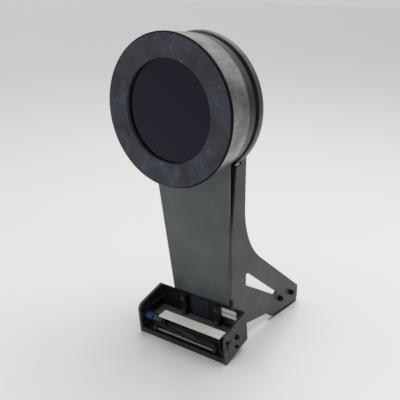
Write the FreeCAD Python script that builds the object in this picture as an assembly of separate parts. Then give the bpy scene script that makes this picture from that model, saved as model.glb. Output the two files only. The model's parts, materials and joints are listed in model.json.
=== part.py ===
"""Photo enlarger: a lamp head on a leaning column, with a shallow film tray at its foot.

Frame: millimetres, +Z up, the head looks along -Y.  The origin is on the surface the
enlarger stands on, under the middle of the whole object.
"""
import FreeCAD, Part
import math
import os

# ---- driving dimensions -------------------------------------------------------------
HEAD_Z = 283.2             # height of the optical axis
FRONT_Y = -103.0           # front face of the bezel
DRUM_R = 80.0              # outer radius of the focusing drum at its front
DRUM_REAR_R = 76.2         # the drum tapers to this radius at its rear edge
APERTURE_R = 54.0          # clear opening in the bezel
DRUM_REAR_Y = -66.6
BARREL_R = 74.5            # fixed barrel that the drum turns on
BARREL_BORE_R = 66.0
BARREL_FRONT_Y = -98.0
BARREL_REAR_Y = -53.0
NECK_R = 67.0              # the barrel's narrow neck, inside the light seal
NECK_BORE_R = 60.0
FLANGE_R = 76.5
FLANGE_FRONT_Y = -46.5
FLANGE_REAR_Y = -40.0
FLANGE_BORE_R = 50.0
COVER_R = 53.0
COVER_LIP_R = 60.0
COVER_REAR_Y = -22.0
RUNNING = 0.05             # radial clearance of every running fit

PLATE_X = 50.0             # outer faces of the side plates
PLATE_T = 3.0
PLATE_IN = PLATE_X - PLATE_T
FOOT_REAR_Y = 103.0
FOOT_SCREW_R = 2.0         # M4 cap screws that stand proud of the rear feet
FOOT_HEAD_R = 3.5
FOOT_HEAD_H = 5.0
FOOT_SCREWS = ((55.5, 22.5), (83.3, 19.7))
FOOT_NUT_R = 4.04          # corner radius of an M4 nut
FOOT_NUT_T = 3.2
PAD_T = 1.2                # thickness of the rubber feet at the rear
NOSE_TOP = (27.0, 13.4)    # slanted front edge of the foot, from top to bottom
NOSE_LOW = (41.0, 4.6)
HEEL = (101.0, PAD_T)      # the plate's underside falls from the nose to the heel
PAD_FLAT_Y = (72.0, 100.5)

LEAN_DEG = 6.8             # the front panel and the tray lean forward by this angle
PANEL_FOOT_Y = -37.57      # where the panel's front face would meet the ground
PANEL_T = 2.0
PANEL_HALF_TOP = 51.2      # half width of the panel at PANEL_TOP
PANEL_HALF_FOOT = 38.4     # half width of the panel at PANEL_FOOT
PANEL_TOP = 220.5          # heights measured along the leaning panel
PANEL_FOOT = 16.0

TRAY_HALF = 63.5           # outer faces of the tray's end plates
TRAY_END_T = 3.0
TRAY_END_IN = TRAY_HALF - TRAY_END_T
TRAY_DEPTH = 44.1          # depth of the tray in front of the panel
TRAY_BACK_LOW = 13.7       # heights along the leaning panel
TRAY_BACK_TOP = 50.6
TRAY_FRONT_LOW = 5.26
TRAY_FRONT_TOP = 42.6
SHEET = 1.6
SHELF_H = 21.8             # upper face of the tray's shelf
SHAFT_D = -34.8            # platen shaft, measured square to the panel
SHAFT_H = 26.4
SHAFT_R = 2.5
BAR_TOP_H = 39.4
BAR_T = 1.6
BAR_FRONT_D = -44.0
BAR_BACK_D = -31.0
BAR_LEFT_X = -31.0
BAR_RIGHT_X = 56.0
ROLLER_D = -36.7
ROLLER_H = 12.2
ROLLER_R = 2.2
ROLLER_HALF = 41.0

V = FreeCAD.Vector
AXIS_Y = V(0, 1, 0)
AXIS_X = V(1, 0, 0)


# ---- small geometry helpers ---------------------------------------------------------
def box(x0, x1, y0, y1, z0, z1):
    """Axis-aligned block between two corners."""
    return Part.makeBox(x1 - x0, y1 - y0, z1 - z0, V(x0, y0, z0))


def rod_x(radius, x0, x1, y, z):
    """Cylinder along X."""
    return Part.makeCylinder(radius, x1 - x0, V(x0, y, z), AXIS_X)


def rod_y(radius, y0, y1, x=0.0, z=HEAD_Z):
    """Cylinder along Y."""
    return Part.makeCylinder(radius, y1 - y0, V(x, y0, z), AXIS_Y)


def tube_x(inner, outer, x0, x1, y, z):
    """Tube along X."""
    return rod_x(outer, x0, x1, y, z).cut(rod_x(inner, x0 - 1, x1 + 1, y, z))


def face_of(steps, point):
    """Closed face through steps.

    A step (a, b) is a straight line to that point, and a step (a, b, c, d) is an arc
    through (a, b) that ends at (c, d).  The function point turns a pair into a vector.
    """
    here = point(*steps[-1][-2:])
    edges = []
    for step in steps:
        end = point(*step[-2:])
        if len(step) == 4:
            edges.append(Part.Arc(here, point(*step[:2]), end).toShape())
        elif here.distanceToPoint(end) > 1e-6:
            edges.append(Part.makeLine(here, end))
        here = end
    return Part.Face(Part.Wire(edges))


def plate_x(steps, x0, x1):
    """Flat plate with an outline in Y and Z, from x0 to x1."""
    return face_of(steps, lambda y, z: V(x0, y, z)).extrude(V(x1 - x0, 0, 0))


def turned(steps):
    """Solid of revolution about the optical axis, with an outline in radius and Y."""
    face = face_of(steps, lambda r, y: V(r, y, HEAD_Z))
    return face.revolve(V(0, 0, HEAD_Z), AXIS_Y, 360)


def ring(inner, outer, y0, y1):
    """Plain ring about the optical axis."""
    return turned([(inner, y0), (outer, y0), (outer, y1), (inner, y1)])


def around_head(radius, count, start_deg=90.0):
    """Places (x, z) evenly spread on a circle about the optical axis."""
    places = []
    for index in range(count):
        angle = math.radians(start_deg + 360.0 * index / count)
        places.append((radius * math.cos(angle), HEAD_Z + radius * math.sin(angle)))
    return places


def leaned(shape):
    """Place a shape drawn in the panel's own frame.

    In that frame x is the row's X, y is measured square to the panel from its front face
    (the room in front is negative) and z is measured along the panel.
    """
    moved = shape.copy()
    turn = FreeCAD.Rotation(AXIS_X, LEAN_DEG)
    moved.Placement = FreeCAD.Placement(V(0, PANEL_FOOT_Y, 0), turn).multiply(moved.Placement)
    return moved


def joined(shapes):
    """One solid from touching or overlapping shapes."""
    first = shapes[0]
    return first.fuse(shapes[1:]).removeSplitter()


def without(shape, tools):
    """The shape with every tool cut away."""
    for tool in tools:
        shape = shape.cut(tool)
    return shape


def group(shapes):
    """Several equal pieces kept as separate solids in one node."""
    return Part.makeCompound(shapes)


def mirrored(shape):
    """The left-hand twin of a right-hand piece."""
    return shape.mirror(V(0, 0, 0), AXIS_X)


def cap_screw_y(x, z, seat_y, length, shank_r, head_r, head_h, toward):
    """Socket-head screw along Y; toward is +1 when the head points to +Y."""
    along = V(0, toward, 0)
    shank = Part.makeCylinder(shank_r, length, V(x, seat_y - toward * length, z), along)
    head = Part.makeCylinder(head_r, head_h, V(x, seat_y, z), along)
    socket = Part.makeCylinder(head_r * 0.5, head_h, V(x, seat_y + toward * head_h * 0.5, z), along)
    return shank.fuse(head).cut(socket)


def cap_screw_x(y, z, seat_x, length, shank_r, head_r, head_h):
    """Socket-head screw along X with its head on the +X side of seat_x."""
    shank = rod_x(shank_r, seat_x - length, seat_x, y, z)
    head = rod_x(head_r, seat_x, seat_x + head_h, y, z)
    socket = rod_x(head_r * 0.5, seat_x + head_h * 0.5, seat_x + head_h, y, z)
    return shank.fuse(head).cut(socket)


# ---- column -------------------------------------------------------------------------
TIE_R = 4.0
TIE_SPIGOT_R = 3.0
TIE_SPIGOT_END = PLATE_IN + 1.8    # the spigots stop short of the plates' outer faces
TIE_BARS = ((-35.0, 202.0), (-20.0, 100.0))
ARM_TIP = (FOOT_REAR_Y, 22.0)
PLATE_REAR_Y = -30.0
ARM_SLOPE = -0.776         # fall of the arm's upper edge towards the rear
ARM_BLEND_R = 93.0         # radius between the column's rear edge and the arm
WEB_Y = -33.0              # front face of the stiffening web
WEB_Z = (34.0, 150.0)
WEB_FLANGE = 8.0
HEAD_BLOCK_X = 40.0        # inner face of the blocks that carry the head
HEAD_BLOCK_Z = (224.0, 237.5)
HEAD_BLOCK_Y = (FLANGE_REAR_Y, -30.0)
HEAD_BLOCK_SCREW_Z = 228.0
HEAD_PLATE_SCREW_Z = 233.5
HEAD_SCREW_R = 1.5
PANEL_BRACKET_H = (154.0, 226.0)
PANEL_BRACKET_X = 34.0
PANEL_BRACKET_DEPTH = 20.0
PANEL_SCREW_R = 1.5
PANEL_SKIN = 0.5           # metal left in front of the blind holes in the panel
PANEL_SCREWS = [(side * 40.5, height) for side in (-1, 1) for height in (164.0, 196.0)]


def arm_blend():
    """Start, middle and end of the arc that blends the arm into the column's rear edge."""
    corner = V(0, PLATE_REAR_Y, ARM_TIP[1] + ARM_SLOPE * (PLATE_REAR_Y - ARM_TIP[0]))
    up = V(0, 0, 1)
    along = V(0, 1, ARM_SLOPE).normalize()
    half = up.getAngle(along) / 2
    start = corner + along * (ARM_BLEND_R / math.tan(half))
    end = corner + up * (ARM_BLEND_R / math.tan(half))
    inward = (up + along).normalize()
    middle = corner + inward * (ARM_BLEND_R / math.sin(half) - ARM_BLEND_R)
    return [(start.y, start.z), (middle.y, middle.z, end.y, end.z)]


def side_plate_outline(front_steps):
    """Side plate outline, from the foot's rear end round the arm and down the front edge."""
    return [(FOOT_REAR_Y, 6.0), ARM_TIP] + arm_blend() + [
        (PLATE_REAR_Y, 240.0), (-39.5, 240.0), (-39.5, 222.0), (-48.4, 222.0),
        (-49.8, 207.0),
    ] + front_steps + [
        (-22.5, 21.4), NOSE_TOP, NOSE_LOW, HEEL,
    ]


def side_plate(front_steps):
    """Right-hand side plate with its window, screw holes and tie bar holes."""
    plate = plate_x(side_plate_outline(front_steps), PLATE_IN, PLATE_X)
    window = plate_x([(-24.5, 72.8), (-24.6, 86.8), (-19.3, 86.6), (48.8, 34.2), (43.4, 32.0)],
                     PLATE_IN - 1, PLATE_X + 1)
    holes = [rod_x(FOOT_SCREW_R, PLATE_IN - 1, PLATE_X + 1, y, z) for y, z in FOOT_SCREWS]
    holes += [rod_x(TIE_SPIGOT_R, PLATE_IN - 1, TIE_SPIGOT_END, y, z) for y, z in TIE_BARS]
    middle_y = sum(HEAD_BLOCK_Y) / 2
    holes.append(rod_x(HEAD_SCREW_R, PLATE_IN - 1, PLATE_X + 1, middle_y, HEAD_PLATE_SCREW_Z))
    return without(plate, [window] + holes)


def tie_bar(y, z):
    """Round bar between the side plates, with a spigot pressed in a blind hole in each plate."""
    spigot = rod_x(TIE_SPIGOT_R, -TIE_SPIGOT_END, TIE_SPIGOT_END, y, z)
    return rod_x(TIE_R, -PLATE_IN, PLATE_IN, y, z).fuse(spigot)


def cross_web():
    """Stiffening channel between the side plates, behind the lower half of the panel."""
    low, high = WEB_Z
    half = PLATE_IN - 0.02
    web = box(-half, half, WEB_Y, WEB_Y + SHEET, low, high)
    flange = box(half - SHEET, half, WEB_Y, WEB_Y + WEB_FLANGE, low, high)
    return joined([web, flange, mirrored(flange)])


def foot_nut(y, z):
    """Hexagon nut on the inside of the right-hand foot."""
    corners = []
    for index in range(6):
        angle = math.radians(60.0 * index)
        corners.append((y + FOOT_NUT_R * math.cos(angle), z + FOOT_NUT_R * math.sin(angle)))
    nut = plate_x(corners, PLATE_IN - FOOT_NUT_T, PLATE_IN)
    return nut.cut(rod_x(FOOT_SCREW_R, PLATE_IN - FOOT_NUT_T - 1, PLATE_IN + 1, y, z))


def foot_nuts():
    """Nuts on all four foot screws."""
    right = [foot_nut(y, z) for y, z in FOOT_SCREWS]
    return group(right + [mirrored(nut) for nut in right])


def foot_screws():
    """Cap screws through both feet."""
    length = PLATE_T + FOOT_NUT_T + 1.0
    right = [cap_screw_x(y, z, PLATE_X, length, FOOT_SCREW_R, FOOT_HEAD_R, FOOT_HEAD_H)
             for y, z in FOOT_SCREWS]
    return group(right + [mirrored(screw) for screw in right])


def panel_half(height):
    """Half width of the tapered panel at a height along it."""
    share = (height - PANEL_FOOT) / (PANEL_TOP - PANEL_FOOT)
    return PANEL_HALF_FOOT + share * (PANEL_HALF_TOP - PANEL_HALF_FOOT)


POST_X = (-22.5, 26.0)
POST_SCREW_H = (27.5, 45.0)
POST_SCREW_R = 1.5


def saddle():
    """Round space that the panel and its brackets leave for the barrel."""
    return rod_y(BARREL_R + 0.8, FRONT_Y, FLANGE_REAR_Y)


def front_panel():
    """Tapered sheet with a saddle cut round the barrel, and its screw holes."""
    corners = [(-PANEL_HALF_FOOT, PANEL_FOOT), (PANEL_HALF_FOOT, PANEL_FOOT),
               (panel_half(228.0), 228.0), (-panel_half(228.0), 228.0)]
    sheet = face_of(corners, lambda x, z: V(x, 0, z)).extrude(V(0, PANEL_T, 0))
    holes = [rod_y(POST_SCREW_R, -1, PANEL_T + 1, x, h) for x in POST_X for h in POST_SCREW_H]
    for x, h in PANEL_SCREWS:
        holes.append(rod_y(PANEL_SCREW_R, PANEL_SKIN, PANEL_T + 1, x, h))
    return leaned(without(sheet, holes)).cut(saddle())


def panel_bracket():
    """Right-hand angle that closes the gap between the panel and a side plate."""
    low, high = PANEL_BRACKET_H
    back_leg = box(PANEL_BRACKET_X, PLATE_IN - 0.02, PANEL_T, PANEL_T + SHEET, low, high)
    side_leg = box(PLATE_IN - SHEET, PLATE_IN - 0.02, PANEL_T, PANEL_BRACKET_DEPTH, low, high)
    holes = [rod_y(PANEL_SCREW_R, PANEL_T - 1, PANEL_T + SHEET + 1, x, h) for x, h in PANEL_SCREWS if x > 0]
    flange_room = rod_y(FLANGE_R + 0.6, FLANGE_FRONT_Y - 0.6, FLANGE_REAR_Y)
    return without(leaned(without(back_leg.fuse(side_leg), holes)), [saddle(), flange_room])


def panel_screw(x, height):
    """Screw from behind through a bracket into the panel, short of its front face."""
    length = PANEL_T + SHEET - PANEL_SKIN
    return leaned(cap_screw_y(x, height, PANEL_T + SHEET, length, PANEL_SCREW_R, 2.7, 1.8, 1))


def head_block():
    """Right-hand block between the side plate and the rear flange."""
    block = box(HEAD_BLOCK_X, PLATE_IN, *HEAD_BLOCK_Y, *HEAD_BLOCK_Z)
    middle_x = (HEAD_BLOCK_X + PLATE_IN) / 2
    middle_y = sum(HEAD_BLOCK_Y) / 2
    along_y = rod_y(HEAD_SCREW_R, HEAD_BLOCK_Y[0] - 1, HEAD_BLOCK_Y[1] + 1, middle_x, HEAD_BLOCK_SCREW_Z)
    along_x = rod_x(HEAD_SCREW_R, HEAD_BLOCK_X + 1.5, PLATE_IN + 1, middle_y, HEAD_PLATE_SCREW_Z)
    return without(block, [along_y, along_x])


def head_block_screws():
    """Two screws a side: one through the side plate, one into the flange."""
    middle_x = (HEAD_BLOCK_X + PLATE_IN) / 2
    middle_y = sum(HEAD_BLOCK_Y) / 2
    plate_screw = cap_screw_x(middle_y, HEAD_PLATE_SCREW_Z, PLATE_X, 8.0, HEAD_SCREW_R, 2.8, 2.0)
    flange_screw = cap_screw_y(middle_x, HEAD_BLOCK_SCREW_Z, HEAD_BLOCK_Y[1], 14.0,
                               HEAD_SCREW_R, 2.8, 2.4, 1)
    return group([plate_screw, mirrored(plate_screw), flange_screw, mirrored(flange_screw)])


def rear_foot():
    """Right-hand rubber foot, a strip under the side plate that wraps round its nose."""
    nose_middle = ((NOSE_TOP[0] + NOSE_LOW[0]) / 2, (NOSE_TOP[1] + NOSE_LOW[1]) / 2)
    outline = [(PAD_FLAT_Y[1], 0.0), HEEL, NOSE_LOW, nose_middle, (33.2, 7.8), (40.6, 3.2),
               (PAD_FLAT_Y[0], 0.0)]
    return plate_x(outline, PLATE_IN - 1.5, PLATE_X + 0.8)


# ---- head, fixed parts --------------------------------------------------------------
LEDGE_Y = -55.0
LENS_R = BARREL_BORE_R - 0.1
LENS_EDGE = 4.0
LENS_SAG = 7.0
LENS_GAP_Y = (-74.0, LEDGE_Y - LENS_EDGE)
KEY_HALF = 3.0
KEY_TOP_R = 69.0
FLANGE_SCREW_CIRCLE = 63.5
COVER_SCREW_CIRCLE = 56.5
COVER_T = 2.0
BULB_R = 8.5
BULB_CAP_R = 5.0
BULB_Y = -39.5


def mid_barrel():
    """Fixed barrel with its narrow neck, a ledge for the lenses and a keyway."""
    body = turned([
        (BARREL_BORE_R, BARREL_FRONT_Y), (BARREL_R, BARREL_FRONT_Y), (BARREL_R, BARREL_REAR_Y),
        (NECK_R, BARREL_REAR_Y), (NECK_R, FLANGE_FRONT_Y), (NECK_BORE_R, FLANGE_FRONT_Y),
        (NECK_BORE_R, LEDGE_Y), (BARREL_BORE_R, LEDGE_Y),
    ])
    keyway = box(-KEY_HALF, KEY_HALF, BARREL_FRONT_Y - 1, -80.0, HEAD_Z + 60.0, HEAD_Z + KEY_TOP_R)
    holes = [rod_y(1.5, FLANGE_FRONT_Y - 6.0, FLANGE_FRONT_Y + 1, x, z)
             for x, z in around_head(FLANGE_SCREW_CIRCLE, 4)]
    return without(body, [keyway] + holes)


def rear_flange():
    """Disc that carries the barrel, the rear cover and the head blocks."""
    edge = 1.2
    disc = turned([
        (FLANGE_BORE_R, FLANGE_FRONT_Y), (FLANGE_R - edge, FLANGE_FRONT_Y),
        (FLANGE_R, FLANGE_FRONT_Y + edge), (FLANGE_R, FLANGE_REAR_Y - edge),
        (FLANGE_R - edge, FLANGE_REAR_Y), (FLANGE_BORE_R, FLANGE_REAR_Y),
    ])
    holes = [rod_y(1.5, FLANGE_FRONT_Y - 1, FLANGE_REAR_Y + 1, x, z)
             for x, z in around_head(FLANGE_SCREW_CIRCLE, 4)]
    holes += [rod_y(1.2, FLANGE_REAR_Y - 4.0, FLANGE_REAR_Y + 1, x, z)
              for x, z in around_head(COVER_SCREW_CIRCLE, 3, 30.0)]
    middle_x = (HEAD_BLOCK_X + PLATE_IN) / 2
    for side in (-1, 1):
        holes.append(rod_y(HEAD_SCREW_R, FLANGE_REAR_Y - 4.0, FLANGE_REAR_Y + 1, side * middle_x,
                           HEAD_BLOCK_SCREW_Z))
    return without(disc, holes)


def flange_screws():
    """Screws from the back of the flange into the barrel's neck."""
    return group([cap_screw_y(x, z, FLANGE_REAR_Y, 12.0, 1.5, 2.8, 2.0, 1)
                  for x, z in around_head(FLANGE_SCREW_CIRCLE, 4)])


VENT_COUNT = 12
VENT_R = (33.0, 47.0)
INLET_R = 7.0


def rear_cover():
    """Domed lamp cover with a lip, a round of vent slots and a hole for the inlet."""
    outer = [(0.0, COVER_REAR_Y), (COVER_R - 6.0, COVER_REAR_Y),
             (COVER_R - 1.8, COVER_REAR_Y - 1.8, COVER_R, COVER_REAR_Y - 6.0),
             (COVER_R, FLANGE_REAR_Y + COVER_T), (COVER_LIP_R, FLANGE_REAR_Y + COVER_T),
             (COVER_LIP_R, FLANGE_REAR_Y), (COVER_R - COVER_T, FLANGE_REAR_Y),
             (COVER_R - COVER_T, COVER_REAR_Y - 6.0),
             (COVER_R - COVER_T - 1.2, COVER_REAR_Y - COVER_T - 1.2,
              COVER_R - COVER_T - 4.0, COVER_REAR_Y - COVER_T),
             (0.0, COVER_REAR_Y - COVER_T)]
    shell = turned(outer)
    tools = [rod_y(1.2, FLANGE_REAR_Y - 1, FLANGE_REAR_Y + COVER_T + 1, x, z)
             for x, z in around_head(COVER_SCREW_CIRCLE, 3, 30.0)]
    for index in range(VENT_COUNT):
        slot = box(-1.5, 1.5, COVER_REAR_Y - 3.0, COVER_REAR_Y + 1, HEAD_Z + VENT_R[0], HEAD_Z + VENT_R[1])
        slot.rotate(V(0, 0, HEAD_Z), AXIS_Y, (index + 0.5) * 360.0 / VENT_COUNT)
        tools.append(slot)
    tools.append(rod_y(INLET_R, COVER_REAR_Y - 3.0, COVER_REAR_Y + 1, 0, HEAD_Z - 22.0))
    tools += [rod_y(1.5, COVER_REAR_Y - 3.0, COVER_REAR_Y + 1, x, HEAD_Z) for x in (-9.0, 9.0)]
    return without(shell, tools)


def cover_screws():
    """Short screws that hold the rear cover."""
    return group([cap_screw_y(x, z, FLANGE_REAR_Y + COVER_T, 5.5, 1.2, 2.2, 1.5, 1)
                  for x, z in around_head(COVER_SCREW_CIRCLE, 3, 30.0)])


def lens(flat_y, toward):
    """Plano-convex condenser lens; toward is -1 when it bulges to -Y."""
    ball_r = (LENS_R ** 2 + LENS_SAG ** 2) / (2 * LENS_SAG)
    crown_y = flat_y + toward * (LENS_EDGE + LENS_SAG)
    ball = Part.makeSphere(ball_r, V(0, crown_y - toward * ball_r, HEAD_Z))
    blank = rod_y(LENS_R, min(flat_y, crown_y), max(flat_y, crown_y))
    return blank.common(ball)


def condenser_spacer(rear_lens, front_lens):
    """Ring between the two lenses, seated on the curved edge of each."""
    return without(ring(62.5, LENS_R, *LENS_GAP_Y), [rear_lens, front_lens])


def reflector():
    """Dished reflector behind the lamp, with a hole for the socket."""
    return turned([(14.0, -33.0), (34.0, -36.2, 49.8, -44.5), (49.8, -46.0),
                   (33.0, -37.4, 14.0, -34.2)])


def lamp_socket():
    """Ceramic socket on the inside of the rear cover."""
    body = rod_y(12.0, -32.5, COVER_REAR_Y - COVER_T)
    pin_holes = [rod_y(1.5, -29.0, COVER_REAR_Y, x, HEAD_Z) for x in (-9.0, 9.0)]
    bore = rod_y(BULB_CAP_R + RUNNING, -32.6, -27.0)
    return without(body, pin_holes + [bore])


def socket_screws():
    """Two screws from outside the cover into the socket."""
    return group([cap_screw_y(x, HEAD_Z, COVER_REAR_Y, 6.0, 1.5, 2.6, 1.6, 1) for x in (-9.0, 9.0)])


def lamp_bulb():
    """Small opal lamp with its cap in the socket."""
    globe = Part.makeSphere(BULB_R, V(0, BULB_Y, HEAD_Z))
    return joined([rod_y(BULB_CAP_R, BULB_Y, -27.0), globe])


def power_inlet():
    """Round inlet in the rear cover, with two contact pins in its cup."""
    z = HEAD_Z - 22.0
    barrel = rod_y(INLET_R, -31.0, COVER_REAR_Y, 0, z)
    rim = rod_y(INLET_R + 2.0, COVER_REAR_Y, COVER_REAR_Y + 1.6, 0, z)
    cup = rod_y(INLET_R - 1.6, -29.0, COVER_REAR_Y + 2, 0, z)
    pins = [rod_y(0.9, -29.5, COVER_REAR_Y - 1, side * 2.6, z) for side in (-1, 1)]
    return joined([barrel.fuse(rim).cut(cup)] + pins)


def lamp_lead(side):
    """Bent lead from the inlet up to the socket."""
    x = side * 3.0
    low = V(x, -31.6, HEAD_Z - 20.0)
    corner = V(x * 2.6, -31.6, HEAD_Z - 14.5)
    high = V(x * 2.6, -29.0, HEAD_Z - 10.3)
    pieces = []
    for start, end in ((low, corner), (corner, high)):
        span = end.sub(start)
        pieces.append(Part.makeCylinder(0.6, span.Length, start, span))
    pieces.append(Part.makeSphere(0.6, corner))
    return joined(pieces)


# ---- head, focusing parts -----------------------------------------------------------
BEZEL_R = DRUM_R - 1.5 - 0.08
BEZEL_T = 3.0
BEZEL_LIP_R = 57.0
BEZEL_LIP_Y = -99.1
GLASS_Y = (-98.5, -95.5)
GLASS_R = 57.0
SLEEVE_R = BARREL_BORE_R - RUNNING
SLEEVE_BORE_R = 63.0
SLEEVE_REAR_Y = -82.0
SLEEVE_WEB_R = 58.0
SLEEVE_WEB_T = 3.0
BEZEL_SCREW_CIRCLE = 60.5


def focus_drum():
    """Outer cup that the hand turns; its bore runs on the barrel."""
    front = FRONT_Y + 0.4
    shoulder = FRONT_Y + BEZEL_T + 0.06
    return turned([
        (DRUM_R - 1.5, shoulder), (DRUM_R - 1.5, front), (DRUM_R - 0.8, front), (DRUM_R, front + 0.8),
        (DRUM_R, front + 2.4), (DRUM_REAR_R, DRUM_REAR_Y), (BARREL_R + RUNNING, DRUM_REAR_Y),
        (BARREL_R + RUNNING, shoulder),
    ])


def front_bezel():
    """Face ring with a short inner tube that ends at the glass."""
    ring_back = FRONT_Y + BEZEL_T
    body = turned([
        (APERTURE_R, BEZEL_LIP_Y), (APERTURE_R, FRONT_Y + 0.8), (APERTURE_R + 0.8, FRONT_Y),
        (BEZEL_R, FRONT_Y), (BEZEL_R, ring_back), (BEZEL_LIP_R, ring_back), (BEZEL_LIP_R, BEZEL_LIP_Y),
    ])
    holes = [rod_y(1.0, ring_back - 2.0, ring_back + 1, x, z) for x, z in around_head(BEZEL_SCREW_CIRCLE, 6)]
    return without(body, holes)


def focus_sleeve():
    """Keyed sleeve that slides in the barrel and carries the bezel and the glass."""
    front = FRONT_Y + BEZEL_T
    body = turned([
        (SLEEVE_WEB_R, front), (SLEEVE_R, front), (SLEEVE_R, SLEEVE_REAR_Y), (SLEEVE_BORE_R, SLEEVE_REAR_Y),
        (SLEEVE_BORE_R, front + SLEEVE_WEB_T), (SLEEVE_WEB_R, front + SLEEVE_WEB_T),
    ])
    key_slot = box(-KEY_HALF, KEY_HALF, -93.0, -85.0, HEAD_Z + SLEEVE_BORE_R + 1.0, HEAD_Z + KEY_TOP_R)
    holes = [rod_y(1.0, front - 1, front + SLEEVE_WEB_T + 1, x, z)
             for x, z in around_head(BEZEL_SCREW_CIRCLE, 6)]
    return without(body, [key_slot] + holes)


def sleeve_key():
    """Key in the sleeve that slides in the barrel's keyway."""
    half = KEY_HALF - RUNNING
    return box(-half, half, -92.95, -85.05, HEAD_Z + SLEEVE_BORE_R + 1.3, HEAD_Z + KEY_TOP_R - 0.4)


def bezel_screws():
    """Screws from inside the sleeve into the back of the bezel."""
    seat = FRONT_Y + BEZEL_T + SLEEVE_WEB_T
    return group([cap_screw_y(x, z, seat, SLEEVE_WEB_T + 1.8, 1.0, 1.9, 1.6, 1)
                  for x, z in around_head(BEZEL_SCREW_CIRCLE, 6)])


def glass_retainer():
    """Ring screwed into the sleeve behind the glass."""
    outer = SLEEVE_BORE_R
    return turned([(GLASS_R, -94.8), (outer, -94.8), (outer, -90.0), (55.0, -90.0),
                   (55.0, GLASS_Y[1]), (GLASS_R, GLASS_Y[1])])


# ---- tray ---------------------------------------------------------------------------
POST_HALF = 3.2
POST_T = 6.0
POST_H = (SHELF_H, 49.0)
BUSH_R = 4.0
BOSS_R = 5.6
EAR_D = -26.0
END_SCREWS = ((-20.5, 29.0, 3.2), (-22.0, 17.0, 2.1))
FRONT_SCREW = (-40.3, 33.0, 2.2)
NAMEPLATE = (-14.5, 10.5, 25.5, 47.0)
LABEL = (29.5, 51.0, 35.0, 47.5)


def tray_floor_h(d):
    """Height of the tray's outer floor line at a depth in front of the panel."""
    return TRAY_BACK_LOW + (TRAY_BACK_LOW - TRAY_FRONT_LOW) * d / TRAY_DEPTH


def tray_channel():
    """Folded sheet: back wall, sloping floor, a low front lip and an ear at each end."""
    slope = math.atan2(TRAY_BACK_LOW - TRAY_FRONT_LOW, TRAY_DEPTH)
    lift = SHEET / math.cos(slope)
    front = -TRAY_DEPTH + 0.6
    lip = 6.5
    section = [
        (0.0, TRAY_BACK_LOW), (0.0, TRAY_BACK_TOP), (-SHEET, TRAY_BACK_TOP),
        (-SHEET, tray_floor_h(-SHEET) + lift), (front + SHEET, tray_floor_h(front + SHEET) + lift),
        (front + SHEET, tray_floor_h(front) + lip), (front, tray_floor_h(front) + lip),
        (front, tray_floor_h(front)),
    ]
    channel = plate_x(section, -TRAY_END_IN, TRAY_END_IN)
    ear_outline = [(-SHEET, tray_floor_h(-SHEET) + 0.5), (-SHEET, 34.0), (EAR_D, 34.0),
                   (EAR_D, tray_floor_h(EAR_D) + 0.5)]
    ear = plate_x(ear_outline, TRAY_END_IN - SHEET, TRAY_END_IN)
    body = joined([channel, ear, mirrored(ear)])
    tools = [rod_y(POST_SCREW_R, -SHEET - 1, 1, x, h) for x in POST_X for h in POST_SCREW_H]
    for d, h, head_r in END_SCREWS:
        tools.append(rod_x(head_r * 0.5, -TRAY_HALF, TRAY_HALF, d, h))
    return leaned(without(body, tools))


def tray_end():
    """Right-hand end plate with a rounded top front corner."""
    corner = 8.0
    outline = [
        (0.0, TRAY_BACK_LOW), (0.0, TRAY_BACK_TOP),
        (-TRAY_DEPTH + corner, TRAY_FRONT_TOP + corner * 0.18),
        (-TRAY_DEPTH + corner * 0.28, TRAY_FRONT_TOP - corner * 0.2, -TRAY_DEPTH, TRAY_FRONT_TOP - corner),
        (-TRAY_DEPTH, TRAY_FRONT_LOW),
    ]
    plate = plate_x(outline, TRAY_END_IN, TRAY_HALF)
    tools = [rod_x(BUSH_R, TRAY_END_IN - 1, TRAY_HALF + 1, SHAFT_D, SHAFT_H)]
    for d, h, head_r in END_SCREWS + (FRONT_SCREW,):
        tools.append(rod_x(head_r * 0.5, TRAY_END_IN - 1, TRAY_HALF + 1, d, h))
    return leaned(without(plate, tools))


def tray_end_screws():
    """Screws through both end plates into the ears, and a front screw with its nut."""
    solids = []
    for d, h, head_r in END_SCREWS:
        solids.append(cap_screw_x(d, h, TRAY_HALF, TRAY_END_T + SHEET + 1.0, head_r * 0.5, head_r, 1.8))
    d, h, head_r = FRONT_SCREW
    stud = cap_screw_x(d, h, TRAY_HALF, TRAY_END_T + 2.0, head_r * 0.5, head_r, 1.6)
    nut = rod_x(head_r, TRAY_END_IN - 1.6, TRAY_END_IN, d, h)
    solids.append(joined([stud, nut]))
    solids = [leaned(solid) for solid in solids]
    return group(solids + [mirrored(solid) for solid in solids])


def tray_shelf():
    """Flat shelf between the ears, in front of the back wall."""
    half = TRAY_END_IN - SHEET
    return leaned(box(-half, half, EAR_D + 4.0, -SHEET, SHELF_H - SHEET, SHELF_H))


def mount_post(x):
    """Block inside the tray that clamps its back wall to the panel with two screws."""
    block = box(x - POST_HALF, x + POST_HALF, -SHEET - POST_T, -SHEET, *POST_H)
    holes = [rod_y(POST_SCREW_R, -SHEET - POST_T - 1, 0, x, h) for h in POST_SCREW_H]
    front = -SHEET - POST_T
    recess = box(x - POST_HALF - 1, x + POST_HALF + 1, front - 1, front + 2.0, 32.0, 40.5)
    return leaned(without(block, holes + [recess]))


def post_screws():
    """Screws through the posts, the back wall and the panel."""
    seat = -SHEET - POST_T
    return group([leaned(cap_screw_y(x, h, seat, POST_T + SHEET + PANEL_T + 1.5, POST_SCREW_R, 2.6, 1.8, -1))
                  for x in POST_X for h in POST_SCREW_H])


def flat_plate(outline, thickness):
    """Thin blank plate on the front of the tray's back wall."""
    x0, x1, h0, h1 = outline
    return leaned(box(x0, x1, -SHEET - thickness, -SHEET, h0, h1))


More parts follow.
